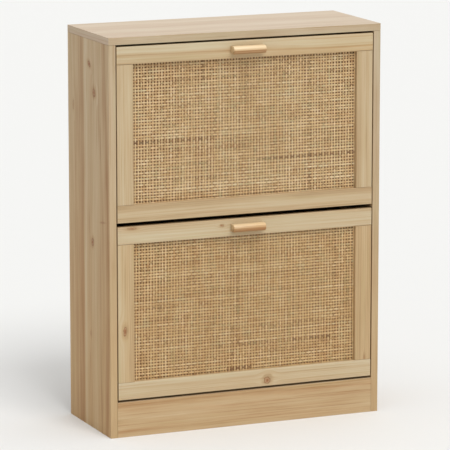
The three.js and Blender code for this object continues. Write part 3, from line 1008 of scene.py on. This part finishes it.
def plastic_material(colours):
    """Injection-moulded polypropylene: a faintly pebbled satin skin with slow flow marks."""
    material, tree = new_material("moulded_polypropylene")
    pebble = noise_along(tree, X, 0.8, 0.8, 2)
    flow = noise_along(tree, Z, 90.0, 30.0, 4)
    base = tuple(colours.plastic)
    dull = tuple(0.9 * channel for channel in base)
    sockets = {
        "Base Color": add(tree, "ValToRGB", flow, stops=[(0.3, dull), (0.7, base)]),
        "Roughness": add(tree, "MapRange", pebble, 0.3, 0.7, 0.36, 0.48, **SMOOTH),
        "Normal": add(tree, "Bump", named={"Height": pebble, "Strength": 0.15, "Distance": 0.1 * MM}),
        "IOR": 1.49,
        "Subsurface Weight": 0.05,
        "Subsurface Radius": (0.002, 0.0015, 0.001),
    }
    add(tree, "OutputMaterial", add(tree, "BsdfPrincipled", named=sockets))
    return material


class CABINET_OT_rack_brackets(bpy.types.Operator):
    """Build the moulded brackets that carry the shoe racks"""

    bl_idname = "cabinet.rack_brackets"
    bl_label = "Rack Brackets"

    def execute(self, context):
        sizes = context.scene.cabinet_sizes
        plastic = plastic_material(context.scene.cabinet_colours)
        for flap in FLAPS:
            for side in SIDES:
                node = flap + "_rack_bracket_" + side
                shape = copy_of(node)
                sharp = [edge for edge in shape.edges if edge.calc_face_angle(0.0) > math.radians(60)]
                round_off(shape, sharp, sizes.moulding_edge, segments=2, clamp=False)
                shade(shape)
                put_in_scene(shape, "moulded_" + node, node, [plastic])
        return {"FINISHED"}


# ----------------------------------------------------------------------------------------------------
# Metal


def steel_material(colours):
    """Zinc-plated steel: bright, faintly blue and mottled where the plating's crystals turn."""
    material, tree = new_material("zinc_plated_steel")
    spangle = noise_along(tree, X, 1.5, 1.5, 6, detail=3.0)
    base = tuple(colours.steel)
    dull = tuple(0.75 * channel for channel in base)
    sockets = {
        "Base Color": add(tree, "ValToRGB", spangle, stops=[(0.3, dull), (0.7, base)]),
        "Metallic": 1.0,
        "Roughness": add(tree, "MapRange", spangle, 0.3, 0.7, 0.24, 0.4, **SMOOTH),
    }
    add(tree, "OutputMaterial", add(tree, "BsdfPrincipled", named=sockets))
    return material


def crown_faces(shape, node, axis):
    """The faces of a screw's flat crown, which lie at one end of its box and are wider than its tip."""
    low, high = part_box(node)
    ends = []
    for end in (low[axis], high[axis]):
        ends.append([face for face in shape.faces if abs(face.calc_center_median()[axis] - end) < TOUCH])
    return max(ends, key=lambda faces: sum(face.calc_area() for face in faces))


def cut_recess(shape, node, axis, sizes):
    """Cuts a cross into a screw's crown: lines across the crown on both sides of each arm and at its ends,
    and then the faces between them moved in."""
    crown = crown_faces(shape, node, axis)
    inwards = -crown[0].normal
    middle = middle_of(node)
    middle[axis] = crown[0].calc_center_median()[axis]
    directions = [direction for direction in (X, Y, Z) if direction != axis]
    half, reach = sizes.recess_width / 2, sizes.recess_reach
    for direction in directions:
        normal = Vector([float(direction == other) for other in (X, Y, Z)])
        for place in (-reach, -half, half, reach):
            faces = crown_faces(shape, node, axis)
            parts = dict.fromkeys(part for face in faces for part in (face, *face.edges, *face.verts))
            bmesh.ops.bisect_plane(
                shape,
                geom=list(parts),
                dist=MERGE_DISTANCE,
                plane_co=middle + place * normal,
                plane_no=normal,
            )
    cross = []
    for face in crown_faces(shape, node, axis):
        offset = face.calc_center_median() - middle
        near, far = sorted(abs(offset[direction]) for direction in directions)
        if near < half and far < reach:
            cross.append(face)
    made = bmesh.ops.extrude_face_region(shape, geom=cross)["geom"]
    floor = [part for part in made if isinstance(part, bmesh.types.BMVert)]
    bmesh.ops.translate(shape, verts=floor, vec=sizes.recess_depth * inwards)
    bmesh.ops.delete(shape, geom=cross, context="FACES")
    bmesh.ops.recalc_face_normals(shape, faces=shape.faces)


class CABINET_OT_screws(bpy.types.Operator):
    """Build the pan-head screws with rounded crowns and cross recesses"""

    bl_idname = "cabinet.screws"
    bl_label = "Screws"

    def execute(self, context):
        sizes = context.scene.cabinet_sizes
        steel = steel_material(context.scene.cabinet_colours)
        for node in [name for name in frame["nodes"] if "screw" in name]:
            shape = copy_of(node)
            size = size_of(node)
            axis = max((X, Y, Z), key=lambda direction: size[direction])
            crown = set(crown_faces(shape, node, axis))
            rim = [edge for edge in shape.edges if len(crown & set(edge.link_faces)) == 1]
            round_off(shape, rim, sizes.crown_edge, segments=2)
            cut_recess(shape, node, axis, sizes)
            shade(shape)
            put_in_scene(shape, "recessed_" + node, node, [steel])
        return {"FINISHED"}


class CABINET_OT_metalwork(bpy.types.Operator):
    """Finish the pins and wall brackets in zinc-plated steel"""

    bl_idname = "cabinet.metalwork"
    bl_label = "Metalwork"

    def execute(self, context):
        steel = steel_material(context.scene.cabinet_colours)
        for node, piece in frame["nodes"].items():
            if "screw" not in node and ("pin_" in node or "wall_bracket" in node):
                piece.data.materials.clear()
                piece.data.materials.append(steel)
        return {"FINISHED"}


# ----------------------------------------------------------------------------------------------------
# Stage


# In metres, so that the floor's rim lies out of sight.
FLOOR_RADIUS = 60.0
# A light's angle in degrees, wide for soft shadows, and the direction towards it.
KEY_LIGHT = (28, Vector((0.06, -0.64, 0.77)))
TOP_LIGHT = (60, Vector((0.05, -0.1, 1.0)))
CAMERA_TARGET = Vector((-18.0, -35.7, 409.0)) * MM
WHITE = (1.0, 1.0, 1.0, 1.0)


class CABINET_OT_stage(bpy.types.Operator):
    """Set up the floor, the soft lights and the camera"""

    bl_idname = "cabinet.stage"
    bl_label = "Stage"

    def execute(self, context):
        stage = context.scene.cabinet_stage
        scene = context.scene
        scene.view_settings.view_transform = "Standard"

        shape = bmesh.new()
        bmesh.ops.create_circle(shape, cap_ends=True, radius=FLOOR_RADIUS, segments=64)
        mesh = bpy.data.meshes.new("floor")
        shape.to_mesh(mesh)
        shape.free()
        floor = bpy.data.objects.new("floor", mesh)
        scene.collection.objects.link(floor)
        material, tree = new_material("plain_floor")
        matt = {"Base Color": (*stage.floor, 1.0), "Roughness": 0.9}
        add(tree, "OutputMaterial", add(tree, "BsdfPrincipled", named=matt))
        mesh.materials.append(material)

        self.add_sun(scene, "key_light", stage.key_strength, *KEY_LIGHT)
        self.add_sun(scene, "top_light", stage.top_strength, *TOP_LIGHT)

        world = bpy.data.worlds.new("studio")
        scene.world = world
        world.use_nodes = True
        tree = world.node_tree
        tree.nodes.clear()
        path = add(tree, "LightPath").outputs["Is Diffuse Ray"]
        seen = add(tree, "Background", WHITE, 1.0)
        fill = add(tree, "Background", WHITE, stage.fill_strength)
        add(tree, "OutputWorld", add(tree, "MixShader", path, seen, fill))

        camera_data = bpy.data.cameras.new("camera")
        camera_data.lens = stage.lens
        camera_data.sensor_width = 36.0
        camera_data.clip_end = 200.0
        camera = bpy.data.objects.new("camera", camera_data)
        scene.collection.objects.link(camera)
        azimuth, elevation = stage.azimuth, stage.elevation
        level = math.cos(elevation)
        back = Vector((math.sin(azimuth) * level, -math.cos(azimuth) * level, math.sin(elevation)))
        camera.location = CAMERA_TARGET + back * stage.distance
        camera.rotation_euler = (-back).to_track_quat("-Z", "Y").to_euler()
        scene.camera = camera
        return {"FINISHED"}

    def add_sun(self, scene, name, strength, spread_degrees, towards):
        data = bpy.data.lights.new(name, "SUN")
        data.energy = strength
        data.angle = math.radians(spread_degrees)
        light = bpy.data.objects.new(name, data)
        light.rotation_euler = towards.to_track_quat("Z", "Y").to_euler()
        scene.collection.objects.link(light)


# ----------------------------------------------------------------------------------------------------
# Add-on

OPERATORS = (
    CABINET_OT_carcass_boards,
    CABINET_OT_flap_frames,
    CABINET_OT_webbing,
    CABINET_OT_handles,
    CABINET_OT_back_panels,
    CABINET_OT_rack_boards,
    CABINET_OT_rack_brackets,
    CABINET_OT_screws,
    CABINET_OT_metalwork,
    CABINET_OT_stage,
)


class CABINET_PT_sidebar(bpy.types.Panel):
    """Sizes, colours and pieces of the shoe cabinet"""

    bl_idname = "CABINET_PT_sidebar"
    bl_label = "Shoe Cabinet"
    bl_space_type = "VIEW_3D"
    bl_region_type = "UI"
    bl_category = "Shoe Cabinet"

    def draw(self, context):
        groups = (context.scene.cabinet_sizes, context.scene.cabinet_colours, context.scene.cabinet_stage)
        for group in groups:
            box = self.layout.box()
            for name in group.__annotations__:
                box.prop(group, name)
        for operator in OPERATORS:
            self.layout.operator(operator.bl_idname)


CLASSES = (CabinetSizes, CabinetColours, StageSettings, *OPERATORS, CABINET_PT_sidebar)


def register():
    for cls in CLASSES:
        bpy.utils.register_class(cls)
    bpy.types.Scene.cabinet_sizes = PointerProperty(type=CabinetSizes)
    bpy.types.Scene.cabinet_colours = PointerProperty(type=CabinetColours)
    bpy.types.Scene.cabinet_stage = PointerProperty(type=StageSettings)


def unregister():
    del bpy.types.Scene.cabinet_stage
    del bpy.types.Scene.cabinet_colours
    del bpy.types.Scene.cabinet_sizes
    for cls in reversed(CLASSES):
        bpy.utils.unregister_class(cls)


def main():
    register()
    for operator in OPERATORS:
        group, name = operator.bl_idname.split(".")
        getattr(getattr(bpy.ops, group), name)()


if __name__ == "__main__":
    main()
